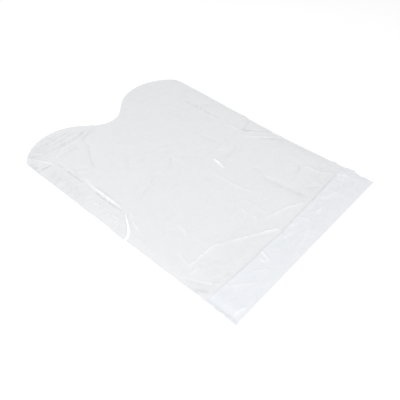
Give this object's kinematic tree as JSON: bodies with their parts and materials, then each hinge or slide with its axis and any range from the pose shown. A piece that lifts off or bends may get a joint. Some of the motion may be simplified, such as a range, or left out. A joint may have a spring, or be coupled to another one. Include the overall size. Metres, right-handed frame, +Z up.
{
  "type": "disposable barber cape",
  "caption": "Flat disposable film barber cape: bib-shaped sheet with a neck scoop, shoulder lobes, side tie straps and a folded-up clippings pocket.",
  "frame": {"origin": "centre of the cape's underside as it lies flat on a table", "axes": "+X across the cape, from the left strap to the right strap as the pocket side is seen with the neckline at the top, +Y from the pocket towards the neckline, +Z up, out of the pocket side"},
  "size_m": [0.5, 0.6974, 0.0013],
  "materials": {
    "film": "milky translucent film, finely creased",
    "double_film": "two layers of milky film",
    "weld": "heat-welded film edge"
  },
  "bodies": {
    "upper_half": {"upper_panel": "film"},
    "lower_half": {"lower_panel": "film", "bottom_fold": "double_film", "left_side_seal": "weld", "right_side_seal": "weld"},
    "pocket": {"pocket_front": "double_film"},
    "left_shoulder": {"left_shoulder_lobe": "film"},
    "right_shoulder": {"right_shoulder_lobe": "film"},
    "left_tie": {"left_tie_strap": "film"},
    "right_tie": {"right_tie_strap": "film"}
  },
  "joints": [
    {"name": "cross_fold", "type": "hinge", "parent": "upper_half", "child": "lower_half", "pos_m": [0, 0, 0.0022], "axis": [1, 0, 0], "range_deg": [-170, 0]},
    {"name": "pocket_gape", "type": "hinge", "parent": "lower_half", "child": "pocket", "pos_m": [0, -0.34788, 0.0013], "axis": [1, 0, 0], "range_deg": [0, 30]},
    {"name": "left_shoulder_fold", "type": "hinge", "parent": "upper_half", "child": "left_shoulder", "pos_m": [-0.1, 0.28132, 0.0005], "axis": [0, 1, 0], "range_deg": [0, 110]},
    {"name": "left_tie_lift", "type": "hinge", "parent": "left_shoulder", "child": "left_tie", "pos_m": [-0.225, 0.24732, 0.0005], "axis": [-1, 0, 0], "range_deg": [0, 175]},
    {"name": "right_shoulder_fold", "type": "hinge", "parent": "upper_half", "child": "right_shoulder", "pos_m": [0.1, 0.28132, 0.0005], "axis": [0, -1, 0], "range_deg": [0, 110]},
    {"name": "right_tie_lift", "type": "hinge", "parent": "right_shoulder", "child": "right_tie", "pos_m": [0.225, 0.24732, 0.0005], "axis": [-1, 0, 0], "range_deg": [0, 175]}
  ]
}
